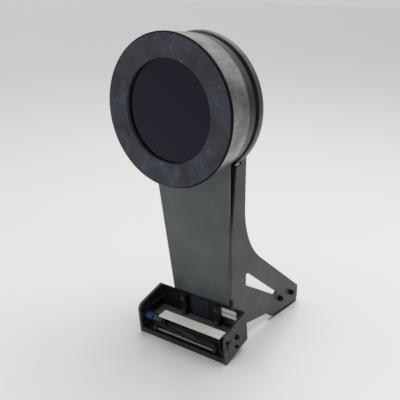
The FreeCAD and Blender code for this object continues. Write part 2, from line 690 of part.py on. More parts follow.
def platen_bushes():
    """Flanged bushes in both end plates, closed by a round boss on the outside."""
    sleeve = tube_x(SHAFT_R + RUNNING, BUSH_R, TRAY_END_IN, TRAY_HALF + 0.6, SHAFT_D, SHAFT_H)
    cap = rod_x(BOSS_R, TRAY_HALF + 0.6, TRAY_HALF + 1.6, SHAFT_D, SHAFT_H)
    collar = tube_x(BUSH_R, BOSS_R, TRAY_HALF, TRAY_HALF + 0.6, SHAFT_D, SHAFT_H)
    bush = leaned(joined([sleeve, collar, cap]))
    return group([bush, mirrored(bush)])


# ---- platen, a pale bar on two arms that swings about its shaft -----------------------
ARM_T = 3.0
ARMS_X = (BAR_LEFT_X + 2.0, BAR_RIGHT_X - 2.0 - ARM_T)


def platen_bar():
    """Flat pale bar over the shaft, with a hole over each arm."""
    sheet = box(BAR_LEFT_X, BAR_RIGHT_X, BAR_FRONT_D, BAR_BACK_D, BAR_TOP_H - BAR_T, BAR_TOP_H)
    holes = [Part.makeCylinder(1.0, 4.0, V(x + ARM_T / 2, (BAR_FRONT_D + BAR_BACK_D) / 2, BAR_TOP_H - 3.0))
             for x in ARMS_X]
    return leaned(without(sheet, holes))


def platen_arm(x):
    """Arm clamped on the shaft, with a foot under the bar."""
    top = BAR_TOP_H - BAR_T
    middle = (BAR_FRONT_D + BAR_BACK_D) / 2
    outline = [(SHAFT_D - 4.0, SHAFT_H), (middle - 4.0, top), (middle + 4.0, top), (SHAFT_D + 4.0, SHAFT_H)]
    web = plate_x(outline, x, x + ARM_T)
    hub = rod_x(4.4, x, x + ARM_T, SHAFT_D, SHAFT_H)
    bore = rod_x(SHAFT_R, x - 1, x + ARM_T + 1, SHAFT_D, SHAFT_H)
    thread = Part.makeCylinder(1.0, 4.0, V(x + ARM_T / 2, middle, top - 3.5))
    return leaned(web.fuse(hub).cut(bore).cut(thread))


def platen_rivet(x):
    """Rivet that holds the bar on an arm."""
    middle = (BAR_FRONT_D + BAR_BACK_D) / 2
    shank = Part.makeCylinder(1.0, BAR_T + 3.0, V(x + ARM_T / 2, middle, BAR_TOP_H - BAR_T - 3.0))
    head = Part.makeCylinder(1.9, 0.5, V(x + ARM_T / 2, middle, BAR_TOP_H))
    return leaned(shank.fuse(head))


KNOB_X = (-57.5, -47.5)
SPRING_X = (-46.5, -33.0)


def platen_shaft():
    """Shaft through both bushes."""
    end = TRAY_HALF + 0.5
    return leaned(rod_x(SHAFT_R, -end, end, SHAFT_D, SHAFT_H))


def thumb_knob():
    """Small knurled knob fixed on the shaft; turning it tilts the bar."""
    start, end = KNOB_X
    body = rod_x(4.6, start, end, SHAFT_D, SHAFT_H)
    flutes = []
    for index in range(16):
        angle = math.radians(index * 22.5)
        flutes.append(rod_x(0.5, start - 1, end - 2.0, SHAFT_D + 4.75 * math.cos(angle),
                            SHAFT_H + 4.75 * math.sin(angle)))
    bore = rod_x(SHAFT_R, start - 1, end + 1, SHAFT_D, SHAFT_H)
    return leaned(without(body, flutes + [bore]))


def platen_spring():
    """Space taken by the coiled return spring between the knob and the left arm."""
    return leaned(tube_x(SHAFT_R + 0.3, SHAFT_R + 1.5, *SPRING_X, SHAFT_D, SHAFT_H))


def film_roller():
    """Polished roller near the floor, with thinner journals at its ends."""
    journal = rod_x(1.5, -ROLLER_HALF - 3.9, ROLLER_HALF + 3.9, ROLLER_D, ROLLER_H)
    return leaned(rod_x(ROLLER_R, -ROLLER_HALF, ROLLER_HALF, ROLLER_D, ROLLER_H).fuse(journal))


def roller_brackets():
    """Pair of small blocks on the floor that carry the roller's journals."""
    solids = []
    slope = math.atan2(TRAY_BACK_LOW - TRAY_FRONT_LOW, TRAY_DEPTH)
    lift = SHEET / math.cos(slope)
    outline = [(ROLLER_D - 4.0, tray_floor_h(ROLLER_D - 4.0) + lift),
               (ROLLER_D + 4.0, tray_floor_h(ROLLER_D + 4.0) + lift),
               (ROLLER_D + 4.0, ROLLER_H + 1.0), (ROLLER_D, ROLLER_H + 4.6, ROLLER_D - 4.0, ROLLER_H + 1.0)]
    for x0 in (-ROLLER_HALF - 4.4, ROLLER_HALF + 0.4):
        block = plate_x(outline, x0, x0 + 4.0)
        bore = rod_x(1.5 + RUNNING, x0 - 1, x0 + 5.0, ROLLER_D, ROLLER_H)
        solids.append(leaned(block.cut(bore)))
    return group(solids)


# ---- every node by name ---------------------------------------------------------------
RIGHT_FRONT = [(-54.0, 152.0), (-54.0, 66.0), (-50.5, 66.0), (-50.5, 50.8), (-43.2, 50.8), (-39.9, 23.2)]
LEFT_FRONT = [(-51.5, 152.0), (-28.5, 50.0)]

lens_rear = lens(LEDGE_Y, -1)
lens_front = lens(LENS_GAP_Y[0] - LENS_EDGE, 1)

nodes = {
    "side_plate_right": side_plate(RIGHT_FRONT),
    "side_plate_left": mirrored(side_plate(LEFT_FRONT)),
    "front_panel": front_panel(),
    "panel_bracket_right": panel_bracket(),
    "panel_bracket_left": mirrored(panel_bracket()),
    "panel_screws": group([panel_screw(x, h) for x, h in PANEL_SCREWS]),
    "cross_web": cross_web(),
    "tie_bars": group([tie_bar(y, z) for y, z in TIE_BARS]),
    "foot_nuts": foot_nuts(),
    "foot_screws": foot_screws(),
    "head_block_right": head_block(),
    "head_block_left": mirrored(head_block()),
    "head_block_screws": head_block_screws(),
    "rear_foot_right": rear_foot(),
    "rear_foot_left": mirrored(rear_foot()),
    "mid_barrel": mid_barrel(),
    "light_seal_ring": ring(NECK_R, 69.0, BARREL_REAR_Y, FLANGE_FRONT_Y),
    "rear_flange": rear_flange(),
    "flange_screws": flange_screws(),
    "rear_cover": rear_cover(),
    "cover_screws": cover_screws(),
    "power_inlet": power_inlet(),
    "lamp_socket": lamp_socket(),
    "socket_screws": socket_screws(),
    "lamp_bulb": lamp_bulb(),
    "lamp_leads": group([lamp_lead(-1), lamp_lead(1)]),
    "reflector": reflector(),
    "heat_glass_ring": ring(50.0, NECK_BORE_R, -48.5, FLANGE_FRONT_Y),
    "heat_glass": ring(0.0, 57.0, -51.5, -48.5),
    "condenser_rear": lens_rear,
    "condenser_spacer": condenser_spacer(lens_rear, lens_front),
    "condenser_front": lens_front,
    "condenser_retainer": ring(62.5, LENS_R, LENS_GAP_Y[0] - LENS_EDGE - 2.0, LENS_GAP_Y[0] - LENS_EDGE),
    "focus_drum": focus_drum(),
    "front_bezel": front_bezel(),
    "front_glass": ring(0.0, GLASS_R, *GLASS_Y),
    "glass_gasket": ring(APERTURE_R, BEZEL_LIP_R, BEZEL_LIP_Y, GLASS_Y[0]),
    "glass_retainer": glass_retainer(),
    "focus_sleeve": focus_sleeve(),
    "sleeve_key": sleeve_key(),
    "bezel_screws": bezel_screws(),
    "tray_channel": tray_channel(),
    "tray_end_right": tray_end(),
    "tray_end_left": mirrored(tray_end()),
    "tray_end_screws": tray_end_screws(),
    "tray_shelf": tray_shelf(),
    "mount_post_left": mount_post(POST_X[0]),
    "mount_post_right": mount_post(POST_X[1]),
    "mount_post_screws": post_screws(),
    "nameplate_blank": flat_plate(NAMEPLATE, 0.8),
    "data_label_blank": flat_plate(LABEL, 0.4),
    "platen_bushes": platen_bushes(),
    "platen_bar": platen_bar(),
    "platen_arms": group([platen_arm(x) for x in ARMS_X]),
    "platen_rivets": group([platen_rivet(x) for x in ARMS_X]),
    "platen_shaft": platen_shaft(),
    "thumb_knob": thumb_knob(),
    "platen_spring": platen_spring(),
    "film_roller": film_roller(),
    "roller_brackets": roller_brackets(),
}

os.makedirs("parts", exist_ok=True)
for node_name, shape in nodes.items():
    shape.exportStep("parts/" + node_name + ".step")
print("nodes written:", len(nodes))
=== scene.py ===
"""Looks of the photo enlarger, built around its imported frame.  Lengths are in metres."""
import json
import math

import bmesh
import bpy
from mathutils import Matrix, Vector


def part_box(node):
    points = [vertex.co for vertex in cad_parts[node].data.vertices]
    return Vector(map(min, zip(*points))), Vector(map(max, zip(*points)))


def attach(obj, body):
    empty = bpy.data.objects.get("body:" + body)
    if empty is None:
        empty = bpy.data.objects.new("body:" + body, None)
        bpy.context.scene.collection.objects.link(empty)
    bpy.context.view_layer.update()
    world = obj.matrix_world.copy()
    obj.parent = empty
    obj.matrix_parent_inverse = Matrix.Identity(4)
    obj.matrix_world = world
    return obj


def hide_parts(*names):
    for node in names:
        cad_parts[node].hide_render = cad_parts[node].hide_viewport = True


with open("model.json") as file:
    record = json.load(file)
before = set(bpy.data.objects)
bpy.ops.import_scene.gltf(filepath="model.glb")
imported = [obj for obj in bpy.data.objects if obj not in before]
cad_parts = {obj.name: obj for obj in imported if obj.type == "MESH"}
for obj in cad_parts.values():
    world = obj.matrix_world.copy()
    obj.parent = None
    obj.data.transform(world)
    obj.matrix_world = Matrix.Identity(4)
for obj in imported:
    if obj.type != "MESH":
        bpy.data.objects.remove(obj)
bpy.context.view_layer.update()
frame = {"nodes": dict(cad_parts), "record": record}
NODES = frame["nodes"]
MM = 0.001


# ---- places taken from the frame ------------------------------------------------------
def middle(node):
    """Middle of a CAD node's box."""
    low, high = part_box(node)
    return (low + high) / 2


HEAD_AXIS = middle("front_bezel")

# radii of the head's turned parts, in millimetres
APERTURE_R = 54.0            # clear opening of the bezel
GLASS_R = 57.0               # glass, its gasket and the tube of the bezel
SEAL_INNER_R = 67.0
SEAL_OUTER_R = 69.0
DRUM_BORE_R = 74.6
DRUM_RIM_R = 76.6            # rolled rim at the rear of the drum
FLANGE_BORE_R = 50.0
FLANGE_R = 76.5

# rounding of edges, in metres
PLATE_ROUNDING = 0.45 * MM
PART_ROUNDING = 0.4 * MM
TRAY_ROUNDING = 0.35 * MM
SCREW_ROUNDING = 0.3 * MM
RIVET_ROUNDING = 0.15 * MM
SHARP_EDGE = math.radians(40.0)   # only outward edges sharper than this are rounded

CAMERA_PLACE = (0.425, -0.618, 0.425)
CAMERA_DOWN = math.radians(19.47)     # how far it looks down
CAMERA_TURN = math.radians(36.627)    # its turn about the vertical
CAMERA_LENS = 60.35                   # focal length in millimetres

# the room that lights the object, and the plain backdrop that the camera sees
ROOM_DARK = (0.20, 0.20, 0.21, 1.0)
ROOM_BRIGHT = (1.0, 1.0, 1.0, 1.0)
ROOM_STRENGTH = 0.68
ROOM_FALL_TO_RIGHT = -0.45
BACKDROP = (0.87, 0.87, 0.865, 1.0)
OVERHEAD_POWER = 13.0
RIGHT_POWER = 0.5


# ---- materials ------------------------------------------------------------------------
class Shader:
    """A small helper that adds nodes to one material."""

    def __init__(self, name):
        self.material = bpy.data.materials.new(name)
        self.material.use_nodes = True
        self.tree = self.material.node_tree
        self.bsdf = self.tree.nodes["Principled BSDF"]
        coords = self.tree.nodes.new("ShaderNodeTexCoord")
        self.place = coords.outputs["Object"]

    def add(self, kind, inputs=None, **settings):
        """New node with its settings and inputs filled in."""
        node = self.tree.nodes.new(kind)
        for key, value in settings.items():
            setattr(node, key, value)
        for key, value in (inputs or {}).items():
            self.feed(value, node.inputs[key])
        return node

    def feed(self, value, socket):
        """Links a socket, or sets a plain value."""
        if isinstance(value, bpy.types.NodeSocket):
            self.tree.links.new(value, socket)
        else:
            socket.default_value = value

    def math(self, operation, first, second=0.0):
        node = self.add("ShaderNodeMath", {0: first, 1: second}, operation=operation)
        return node.outputs[0]

    def stretched(self, scale, turn=(0.0, 0.0, 0.0)):
        """Object coordinates, turned first and then scaled, so that a stretch can run any way."""
        turned = self.add("ShaderNodeMapping", {"Vector": self.place, "Rotation": turn})
        node = self.add("ShaderNodeMapping", {"Vector": turned.outputs[0], "Scale": scale})
        return node.outputs[0]

    def noise(self, scale, detail=4.0, rough=0.55, place=None):
        """Noise from 0 to 1, in cycles per metre."""
        inputs = {"Vector": place or self.place, "Scale": scale, "Detail": detail, "Roughness": rough}
        return self.add("ShaderNodeTexNoise", inputs).outputs["Fac"]

    def window(self, value, low, high, out_low=0.0, out_high=1.0):
        """Maps low..high to out_low..out_high and clamps."""
        inputs = {"Value": value, "From Min": low, "From Max": high, "To Min": out_low, "To Max": out_high}
        return self.add("ShaderNodeMapRange", inputs).outputs["Result"]

    def blend(self, factor, first, second):
        """Colour that goes from first to second with the factor."""
        node = self.add("ShaderNodeMix", data_type="RGBA")
        self.feed(factor, node.inputs[0])
        self.feed(first, node.inputs[6])
        self.feed(second, node.inputs[7])
        return node.outputs[2]

    def edges(self, radius):
        """1 on a sharp outer edge and 0 on a flat face."""
        bevel = self.add("ShaderNodeBevel", {"Radius": radius}, samples=4)
        geometry = self.add("ShaderNodeNewGeometry")
        inputs = {0: bevel.outputs[0], 1: geometry.outputs["Normal"]}
        match = self.add("ShaderNodeVectorMath", inputs, operation="DOT_PRODUCT").outputs["Value"]
        return self.window(match, 0.995, 0.90)

    def marks(self, scale, turn, width, density):
        """Short fine scratches that all run one way."""
        place = self.stretched((scale, scale * 0.16, scale * 0.16), turn)
        cells = self.add("ShaderNodeTexVoronoi", {"Vector": place, "Scale": 1.0})
        line = self.window(cells.outputs["Distance"], width, width * 0.4)
        where = self.window(self.noise(scale * 0.12, 2.0), 1.0 - density, 1.05 - density)
        return self.math("MULTIPLY", line, where)

    def bump(self, height, distance):
        """Surface relief of the given depth in metres."""
        inputs = {"Height": height, "Distance": distance, "Strength": 1.0}
        node = self.add("ShaderNodeBump", inputs)
        self.feed(node.outputs[0], self.bsdf.inputs["Normal"])

    def set(self, **inputs):
        """Fills inputs of the surface shader and returns the material."""
        for key, value in inputs.items():
            self.feed(value, self.bsdf.inputs[key.replace("_", " ")])
        return self.material


def rgb(red, green, blue):
    """Colour from 0..255 display values."""
    def linear(value):
        value /= 255.0
        return value / 12.92 if value <= 0.04045 else ((value + 0.055) / 1.055) ** 2.4
    return (linear(red), linear(green), linear(blue), 1.0)


def coated(name, base, dim, worn, rough=0.42, edge_wear_and_highlight=0.5, scratches=0.3, specular=0.5):
    """Painted or anodised metal with mottling, fine grain, worn edges and a few scratches; on the tray's
    end plates the pale edges are partly a painted highlight.
    """
    shader = Shader(name)
    cloud = shader.window(shader.noise(22.0, 5.0, 0.6), 0.35, 0.65)
    fine = shader.noise(1800.0, 2.0)
    colour = shader.blend(cloud, base, dim)
    edge = shader.math("MULTIPLY", shader.edges(0.5 * MM), shader.window(shader.noise(140.0), 0.4, 0.6))
    scratch = shader.math("MAXIMUM", shader.marks(420.0, (0.3, 0.5, 0.9), 0.10, 0.32),
                          shader.marks(520.0, (1.1, 0.2, 2.2), 0.09, 0.30))
    # Edge and scratch marks, blended toward the worn colour; on the tray's end plates the pale edge part is
    # partly a painted highlight.
    wear = shader.math("MAXIMUM", shader.math("MULTIPLY", edge, edge_wear_and_highlight),
                       shader.math("MULTIPLY", scratch, scratches))
    colour = shader.blend(wear, colour, worn)
    roughness = shader.math("ADD", shader.window(cloud, 0.0, 1.0, rough - 0.05, rough + 0.07),
                            shader.math("MULTIPLY", fine, 0.06))
    height = shader.math("SUBTRACT", shader.math("MULTIPLY", fine, 1.0),
                         shader.math("MULTIPLY", scratch, 0.8))
    shader.bump(height, 0.04 * MM)
    return shader.set(Base_Color=colour, Roughness=roughness, Specular_IOR_Level=specular)


def scuffed_face():
    """Black face ring, cloudy with handling, with pale smudges and tiny nicks."""
    shader = Shader("scuffed_black_face")
    cloud = shader.window(shader.noise(38.0, 6.0, 0.62), 0.36, 0.66)
    tint = shader.window(shader.noise(17.0, 3.0), 0.4, 0.6)
    smudge = shader.window(shader.noise(75.0, 6.0, 0.7), 0.55, 0.78)
    colour = shader.blend(cloud, rgb(22, 25, 31), rgb(66, 73, 89))
    colour = shader.blend(shader.math("MULTIPLY", tint, 0.35), colour, rgb(56, 52, 62))
    colour = shader.blend(shader.math("MULTIPLY", smudge, 0.5), colour, rgb(110, 117, 132))
    nick = shader.math("MAXIMUM", shader.marks(330.0, (0.2, 0.9, 0.4), 0.15, 0.46),
                       shader.marks(410.0, (0.9, 2.1, 1.3), 0.14, 0.45))
    nick = shader.math("MAXIMUM", nick, shader.marks(260.0, (1.9, 0.4, 2.6), 0.12, 0.44))
    edge = shader.math("MULTIPLY", shader.edges(0.5 * MM), shader.window(shader.noise(160.0), 0.45, 0.6))
    mark = shader.math("MAXIMUM", nick, shader.math("MULTIPLY", edge, 0.22))
    colour = shader.blend(shader.math("MULTIPLY", mark, 0.6), colour, rgb(158, 162, 170))
    fine = shader.noise(2200.0, 2.0)
    roughness = shader.math("ADD", shader.window(cloud, 0.0, 1.0, 0.46, 0.60),
                            shader.math("MULTIPLY", fine, 0.06))
    height = shader.math("SUBTRACT", fine, shader.math("MULTIPLY", nick, 1.4))
    shader.bump(height, 0.05 * MM)
    return shader.set(Base_Color=colour, Roughness=roughness, Specular_IOR_Level=0.5)


def turned_metal(name, base, dim, rough, lip_end=None):
    """Anodised metal turned on a lathe: fine rings, streaks along the axis, light wear and a painted
    highlight along its sharp edges.
    """
    shader = Shader(name)
    rings = shader.noise(1.0, 3.0, place=shader.stretched((6.0, 5200.0, 6.0)))
    streaks = shader.noise(1.0, 4.0, place=shader.stretched((260.0, 9.0, 260.0)))
    cloud = shader.window(shader.noise(26.0, 5.0), 0.35, 0.65)
    patch = shader.window(shader.noise(30.0, 5.0, 0.6), 0.32, 0.70)
    mix = shader.math("MULTIPLY", shader.window(streaks, 0.35, 0.7), 0.25)
    colour = shader.blend(shader.math("ADD", mix, shader.math("MULTIPLY", patch, 0.75)), base, dim)
    # Sharp edges are lightened evenly toward pale metal as a painted edge highlight; the short nicks are
    # real wear.
    edge = shader.math("MULTIPLY", shader.edges(0.4 * MM), 0.5)
    nick = shader.marks(380.0, (0.5, 0.3, 1.9), 0.11, 0.33)
    colour = shader.blend(shader.math("MAXIMUM", edge, shader.math("MULTIPLY", nick, 0.35)), colour,
                          rgb(205, 203, 198))
    if lip_end is not None:
        axes = shader.add("ShaderNodeSeparateXYZ", {0: shader.place})
        lip = shader.window(axes.outputs["Y"], lip_end + 0.4 * MM, lip_end)
        colour = shader.blend(lip, colour, rgb(20, 21, 24))
    roughness = shader.math("ADD", shader.window(cloud, 0.0, 1.0, rough - 0.04, rough + 0.06),
                            shader.math("MULTIPLY", streaks, 0.08))
    shader.bump(rings, 0.02 * MM)
    return shader.set(Base_Color=colour, Roughness=roughness, Metallic=0.85)


def soft_rubber(name, base):
    """Dull rubber with a fine pebble and pale dust."""
    shader = Shader(name)
    dust = shader.window(shader.noise(90.0, 5.0, 0.7), 0.5, 0.8)
    pebble = shader.noise(1600.0, 3.0)
    colour = shader.blend(shader.math("MULTIPLY", dust, 0.35), base, rgb(96, 92, 86))
    shader.bump(pebble, 0.08 * MM)
    return shader.set(Base_Color=colour, Roughness=shader.window(pebble, 0.3, 0.7, 0.7, 0.85))


def smoked_glass():
    """Dark polished glass that hides the lenses, with faint dust."""
    shader = Shader("smoked_glass")
    dust = shader.window(shader.noise(420.0, 6.0, 0.75), 0.62, 0.86)
    haze = shader.noise(24.0, 3.0)
    colour = shader.blend(shader.math("MULTIPLY", dust, 0.10), rgb(13, 13, 22), rgb(70, 69, 78))
    roughness = shader.math("ADD", shader.window(haze, 0.3, 0.7, 0.05, 0.11),
                            shader.math("MULTIPLY", dust, 0.25))
    return shader.set(Base_Color=colour, Roughness=roughness, Specular_IOR_Level=0.3,
                      Specular_Tint=rgb(205, 210, 255), Coat_Weight=0.1, Coat_Roughness=0.06)


def clear_glass(name, tint):
    """Clear glass with a trace of haze."""
    shader = Shader(name)
    haze = shader.window(shader.noise(60.0, 4.0), 0.4, 0.8, 0.02, 0.07)
    colour = shader.blend(shader.noise(12.0), tint, (tint[0] * 0.96, tint[1] * 0.99, tint[2] * 0.97, 1.0))
    return shader.set(Base_Color=colour, Roughness=haze, Transmission_Weight=1.0, IOR=1.52)


def moulded(name, base, dim, rough=0.35, subsurface=0.0):
    """Moulded plastic, paper or ceramic with a slight grain and uneven colour."""
    shader = Shader(name)
    cloud = shader.window(shader.noise(55.0, 4.0), 0.35, 0.7)
    fine = shader.noise(1400.0, 3.0)
    grime = shader.window(shader.noise(180.0, 6.0, 0.7), 0.55, 0.8)
    colour = shader.blend(cloud, base, dim)
    colour = shader.blend(shader.math("MULTIPLY", grime, 0.18), colour, rgb(120, 112, 98))
    shader.bump(fine, 0.03 * MM)
    return shader.set(Base_Color=colour, Roughness=shader.window(fine, 0.3, 0.7, rough, rough + 0.1),
                      Subsurface_Weight=subsurface)


def bright_metal(name, base, rough=0.22):
    """Plated or polished steel with fine brushing and a few dull spots."""
    shader = Shader(name)
    brush = shader.noise(1.0, 3.0, place=shader.stretched((48.0, 2400.0, 2400.0)))
    spots = shader.window(shader.noise(240.0, 5.0, 0.7), 0.5, 0.75)
    colour = shader.blend(shader.math("MULTIPLY", spots, 0.5), base,
                          (base[0] * 0.45, base[1] * 0.43, base[2] * 0.40, 1.0))
    roughness = shader.math("ADD", shader.window(spots, 0.0, 1.0, rough, rough + 0.18),
                            shader.math("MULTIPLY", brush, 0.08))
    shader.bump(brush, 0.01 * MM)
    return shader.set(Base_Color=colour, Roughness=roughness, Metallic=1.0)


def ruled_label():
    """Blank cream label in two rows, with thin dark rules between and around them."""
    shader = Shader("ruled_label")
    low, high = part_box("data_label_blank")
    axes = shader.add("ShaderNodeSeparateXYZ", {0: shader.place})
    up = shader.window(axes.outputs["Z"], low.z, high.z)
    to_middle = shader.math("ABSOLUTE", shader.math("SUBTRACT", up, 0.5))
    rule = shader.math("MAXIMUM", shader.window(to_middle, 0.055, 0.035),
                       shader.window(to_middle, 0.44, 0.46))
    across = shader.window(axes.outputs["X"], low.x, high.x)
    to_side = shader.math("ABSOLUTE", shader.math("SUBTRACT", across, 0.5))
    rule = shader.math("MAXIMUM", rule, shader.window(to_side, 0.47, 0.485))
    grime = shader.window(shader.noise(180.0, 6.0, 0.7), 0.5, 0.8)
    colour = shader.blend(shader.math("MULTIPLY", grime, 0.3), rgb(250, 248, 240), rgb(206, 198, 180))
    colour = shader.blend(shader.math("MULTIPLY", rule, 0.85), colour, rgb(70, 62, 58))
    shader.bump(shader.noise(1400.0, 3.0), 0.02 * MM)
    return shader.set(Base_Color=colour, Roughness=shader.window(grime, 0.0, 1.0, 0.45, 0.6))


PAINT = {
    "bezel_black": scuffed_face(),
    "drum_satin": turned_metal("satin_drum", rgb(176, 175, 173), rgb(74, 74, 77), 0.25,
                               lip_end=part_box("focus_drum")[0].y + 2.2 * MM),
    "barrel_dark": turned_metal("dark_barrel", rgb(104, 103, 102), rgb(56, 55, 55), 0.27),
    "black_alloy": coated("black_anodised", rgb(34, 34, 36), rgb(24, 24, 26), rgb(120, 120, 122), 0.5),
    "column_paint": coated("slate_paint", rgb(90, 98, 99), rgb(76, 84, 87), rgb(128, 132, 132), 0.24,
                           edge_wear_and_highlight=0.35, scratches=0.12),
    "plate_paint": coated("grey_paint", rgb(72, 74, 75), rgb(62, 63, 64), rgb(128, 129, 130), 0.36,
                          edge_wear_and_highlight=0.4, scratches=0.14),
    # Near-black paint with little sheen on the inner parts, kept this dark partly as painted shade so the
    # deep gaps they sit in read black.
    "inner_black": coated("matt_black_painted_shade", rgb(9, 9, 10), rgb(6, 6, 7), rgb(44, 44, 46), 0.75,
                          edge_wear_and_highlight=0.1, scratches=0.05, specular=0.12),
    "tray_black": coated("tray_black_paint", rgb(10, 11, 13), rgb(6, 7, 9), rgb(118, 120, 124), 0.34,
                         edge_wear_and_highlight=0.55, scratches=0.25),
    # The tray's end plates get strong near-white edges: partly wear, partly a painted highlight along their
    # edges.
    "tray_grey": coated("tray_grey_paint", rgb(40, 42, 45), rgb(30, 32, 35), rgb(196, 198, 200), 0.28,
                        edge_wear_and_highlight=0.9, scratches=0.25),
    "shelf_grey": coated("shelf_paint", rgb(92, 95, 97), rgb(74, 77, 80), rgb(160, 160, 158), 0.42),
    "platen_white": coated("pale_enamel", rgb(226, 225, 218), rgb(216, 214, 205), rgb(168, 160, 146), 0.26,
                           edge_wear_and_highlight=0.5, scratches=0.2),
    "zinc_steel": bright_metal("zinc_plate", rgb(104, 104, 102), 0.36),
    "black_steel": bright_metal("black_oxide", rgb(38, 38, 41), 0.42),
    # The chrome's base colour is kept dull grey as a painted reflection of the dark tray round the roller.
    "roller_chrome": bright_metal("polished_chrome", rgb(124, 124, 127), 0.24),
    "rubber_black": soft_rubber("black_rubber", rgb(26, 25, 25)),
    "knob_blue": moulded("blue_plastic", rgb(30, 52, 104), rgb(20, 36, 78), 0.24, subsurface=0.05),
    "bush_black": moulded("dark_nylon", rgb(62, 63, 66), rgb(50, 51, 54), 0.42),
    "socket_cream": moulded("cream_ceramic", rgb(214, 208, 192), rgb(198, 190, 172), 0.30),
    "glass_dark": smoked_glass(),
    "lens_glass": clear_glass("lens_glass", (0.93, 0.97, 0.95, 1.0)),
    "bulb_opal": moulded("opal_glass", rgb(236, 234, 226), rgb(228, 226, 218), 0.12, subsurface=0.3),
    "nameplate_blue": coated("nameplate_blue", rgb(34, 40, 58), rgb(26, 31, 46), rgb(150, 156, 166), 0.32),
    "label_cream": ruled_label(),
    "lead_insulation": moulded("red_insulation", rgb(150, 40, 34), rgb(126, 30, 26), 0.45),
}
SLOT_OF = {part["node"]: part["material_slot"] for part in frame["record"]["subparts"]}
BODIES = frame["record"]["behaviour"]["bodies"]
BODY_OF = {node: body for body, members in BODIES.items() for node in members}

for node_name, cad_object in NODES.items():
    cad_object.data.materials.clear()
    cad_object.data.materials.append(PAINT[SLOT_OF[node_name]])


# ---- mesh helpers -----------------------------------------------------------------------
def new_piece(name, build, slot, body, sharp_deg):
    """Object from a bmesh that build fills; it rides on a body and takes a slot's finish."""
    mesh = bpy.data.meshes.new(name)
    work = bmesh.new()
    build(work)
    bmesh.ops.recalc_face_normals(work, faces=work.faces)
    work.to_mesh(mesh)
    work.free()
    mesh.shade_smooth()
    mesh.set_sharp_from_angle(angle=math.radians(sharp_deg))
    piece = bpy.data.objects.new(name, mesh)
    bpy.context.scene.collection.objects.link(piece)
    mesh.materials.append(PAINT[slot])
    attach(piece, body)
    return piece


def stand_in(node, build, sharp_deg=35.0):
    """Finer mesh that replaces one CAD node, on its body and with its slot."""
    piece = new_piece(node + "_fine", build, SLOT_OF[node], BODY_OF[node], sharp_deg)
    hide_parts(node)
    return piece


def weigh_outer_edges(mesh):
    """Weights the sharp outward edges only, so that rounding never fills an inner corner."""
    work = bmesh.new()
    work.from_mesh(mesh)
    weight = work.edges.layers.float.new("bevel_weight_edge")
    for edge in work.edges:
        if edge.is_manifold and edge.calc_face_angle_signed() > SHARP_EDGE:
            edge[weight] = 1.0
    work.to_mesh(mesh)
    work.free()


def refined(node, width, segments):
    """The CAD node's own shape with small rounded outer edges that catch the light."""
    def build(work):
        work.from_mesh(NODES[node].data)
        bmesh.ops.remove_doubles(work, verts=work.verts, dist=0.004 * MM)
        bmesh.ops.dissolve_limit(work, angle_limit=math.radians(0.5), verts=work.verts, edges=work.edges)
    piece = stand_in(node, build)
    weigh_outer_edges(piece.data)
    bevel = piece.modifiers.new("rounded_edges", "BEVEL")
    bevel.width = width
    bevel.segments = segments
    bevel.limit_method = "WEIGHT"
    bevel.harden_normals = True
    return piece


def filleted(corners):
    """Closed outline with each corner (a, b, radius) turned into a smooth curve."""
    steps = 5
    points = []
    count = len(corners)
    for index, (a, b, radius) in enumerate(corners):
        here = Vector((a, b))
        before = Vector(corners[index - 1][:2]) - here
        after = Vector(corners[(index + 1) % count][:2]) - here
        half = before.angle(after) / 2 if radius > 0 else 0.0
        if radius <= 0 or abs(math.sin(half)) > 0.999:
            points.append((a, b))
            continue
        reach = min(radius / math.tan(half), before.length * 0.49, after.length * 0.49)
        start = here + before.normalized() * reach
        end = here + after.normalized() * reach
        for step in range(steps + 1):
            t = step / steps
            curve = start.lerp(here, t).lerp(here.lerp(end, t), t)
            points.append((curve.x, curve.y))
    return points


def revolve(work, outline, origin, along, across, segments=192, ripple=None):
    """Turns a closed outline of (distance along, radius) about an axis."""
    along = Vector(along)
    across = Vector(across)
    side = along.cross(across)
    rows = []
    for index in range(segments):
        angle = 2 * math.pi * index / segments
        outward = across * math.cos(angle) + side * math.sin(angle)
        row = []
        for distance, radius in outline:
            grown = radius + (ripple(distance, radius, angle) if ripple else 0.0)
            row.append(work.verts.new(origin + along * distance + outward * grown))
        rows.append(row)
    for index, row in enumerate(rows):
        after = rows[(index + 1) % segments]
        for step in range(len(outline)):
            onward = (step + 1) % len(outline)
            corners = [row[step], row[onward], after[onward], after[step]]
            work.faces.new(corners)
    bmesh.ops.remove_doubles(work, verts=work.verts, dist=0.001 * MM)


def head_ring(node, corners, segments=192):
    """Turned part of the head from corners (y, radius, fillet) in millimetres."""
    outline = filleted([(y * MM, radius * MM, fillet * MM) for y, radius, fillet in corners])
    origin = Vector((HEAD_AXIS.x, 0.0, HEAD_AXIS.z))

    def build(work):
        revolve(work, outline, origin, (0, 1, 0), (1, 0, 0), segments)
    return stand_in(node, build)


def ends_along_y(node):
    """Front and back of a CAD node, in millimetres."""
    low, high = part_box(node)
    return low.y / MM, high.y / MM


def ring_between(node, inner, outer, fillet):
    """Plain ring of the head whose ends come from the CAD node's box."""
    front, back = ends_along_y(node)
    corners = [(front, inner, fillet), (front, outer, fillet), (back, outer, fillet), (back, inner, fillet)]
    return head_ring(node, corners, 160)


